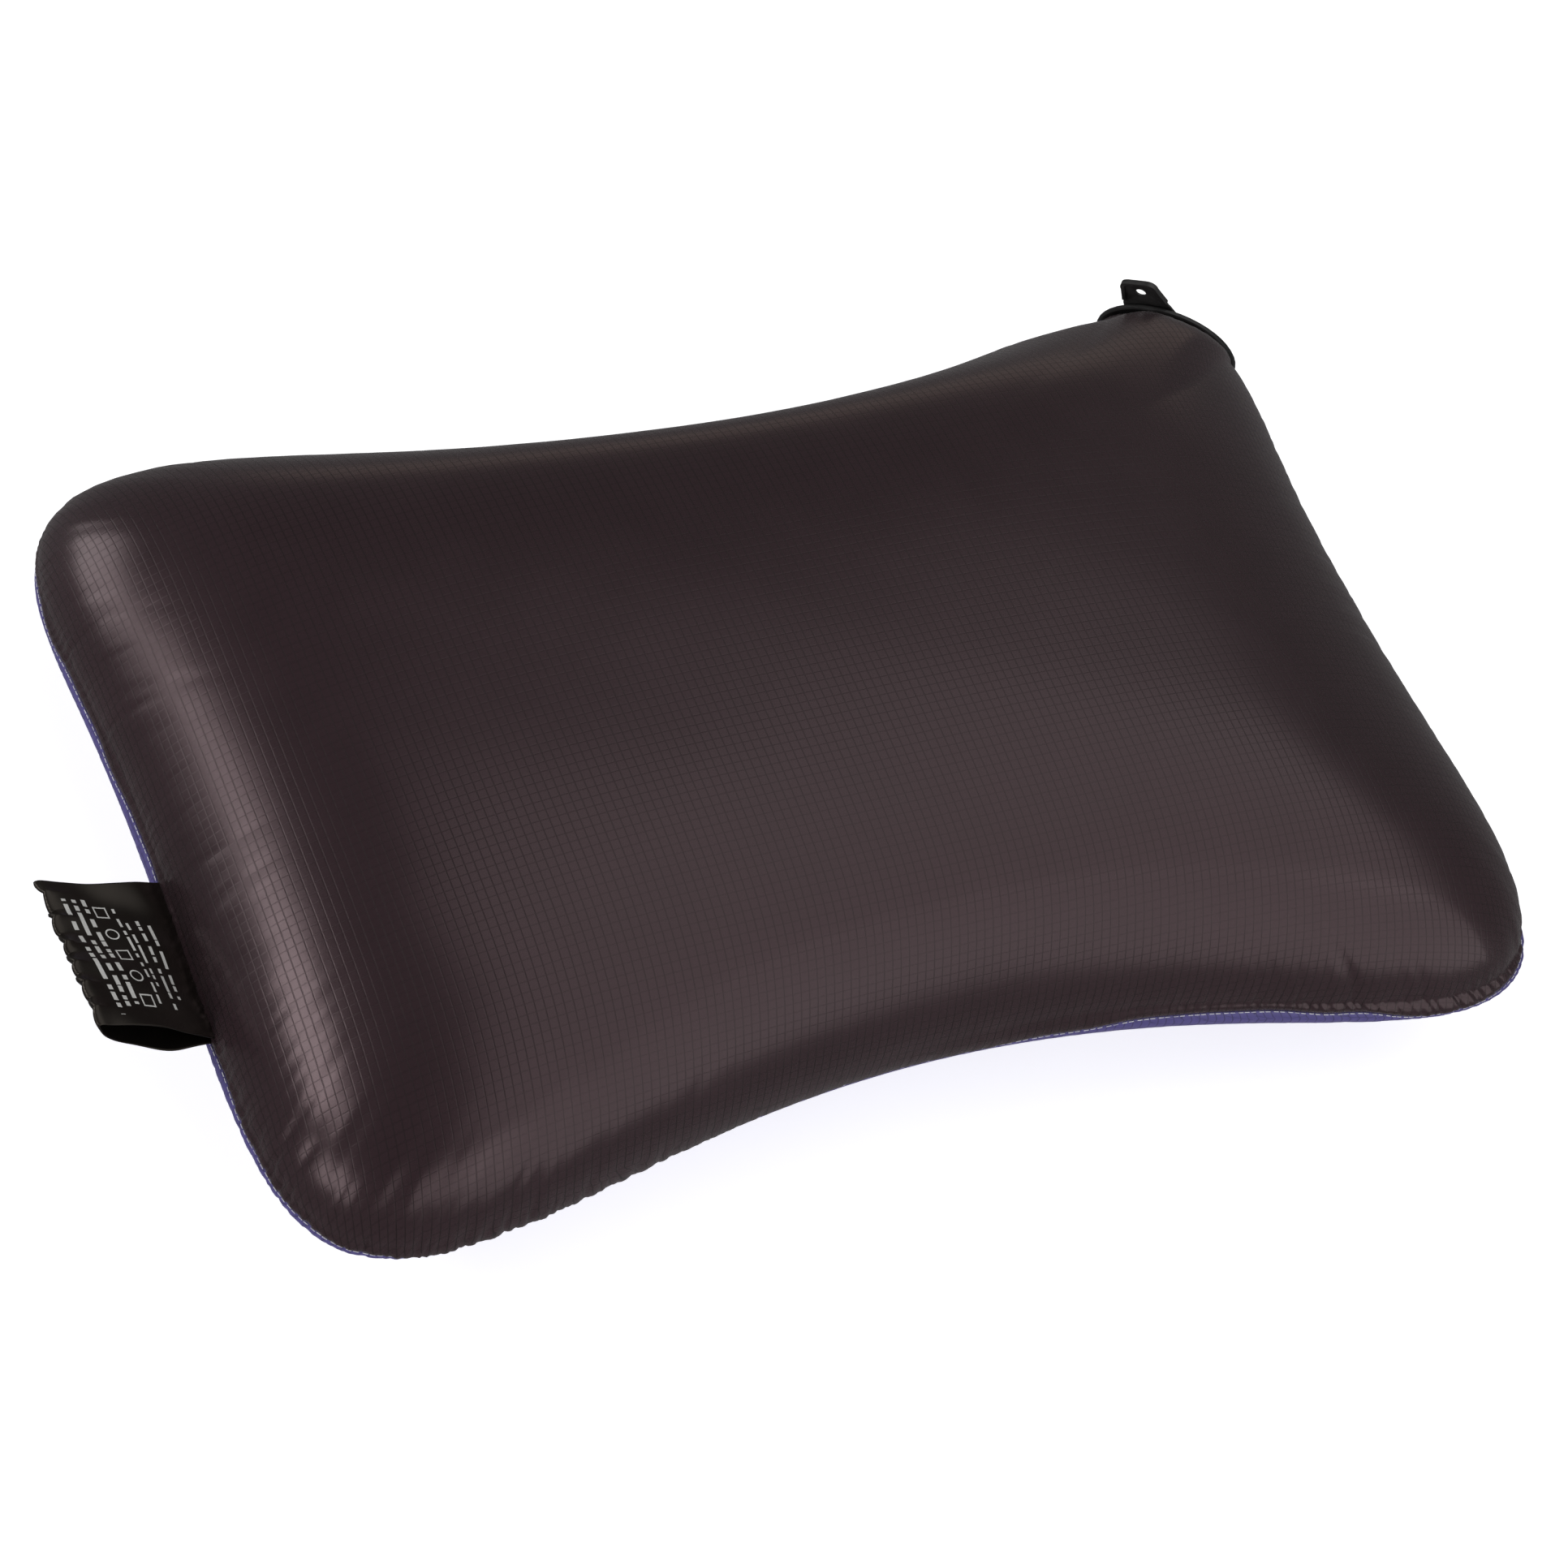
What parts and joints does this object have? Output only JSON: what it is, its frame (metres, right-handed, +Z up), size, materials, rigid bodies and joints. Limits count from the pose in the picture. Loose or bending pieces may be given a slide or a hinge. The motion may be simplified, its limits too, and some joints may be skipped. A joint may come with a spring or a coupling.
{
  "type": "inflatable camp pillow",
  "caption": "Hourglass inflatable camp pillow: ripstop cover over an air bladder, flat corner valve with hinged plug and cap, folded care label.",
  "frame": {"origin": "under the middle of the pillow, on the flat of its underside", "axes": "+X along the long way towards the valve's end, +Y towards the back edge, +Z up out of the crown"},
  "size_m": [0.4143, 0.2545, 0.098],
  "materials": {
    "ripstop_charcoal": "satin ripstop nylon, dark charcoal brown",
    "ripstop_purple": "satin ripstop nylon, blue violet",
    "thread_lavender": "polyester sewing thread",
    "label_satin": "black satin ribbon",
    "bladder_film": "coated film, hidden",
    "elastic_black": "hemmed elastic",
    "valve_black": "moulded soft plastic, satin",
    "silicone_flap": "translucent silicone"
  },
  "bodies": {
    "pillow": {"cover_top": "ripstop_charcoal", "cover_bottom": "ripstop_purple", "seam_thread": "thread_lavender", "care_label": "label_satin", "bladder_top": "bladder_film", "bladder_bottom": "bladder_film", "cover_collar": "elastic_black", "valve_base": "valve_black"},
    "plug": {"deflation_plug": "valve_black"},
    "cap": {"inflation_cap": "valve_black"},
    "flap": {"check_flap": "silicone_flap"}
  },
  "joints": [
    {"name": "plug_hinge", "type": "hinge", "parent": "pillow", "child": "plug", "pos_m": [0.18668, 0.11049, 0.03042], "axis": [-0.5604, 0.6795, -0.4736], "range_deg": [0, 135]},
    {"name": "cap_hinge", "type": "hinge", "parent": "plug", "child": "cap", "pos_m": [0.18392, 0.10409, 0.0545], "axis": [0.5615, -0.1087, -0.8203], "range_deg": [0, 150]},
    {"name": "flap_slide", "type": "slide", "parent": "plug", "child": "flap", "axis": [-0.6089, -0.7256, -0.3206], "range_m": [0, 0.0018], "stiffness_N_per_m": 20}
  ]
}
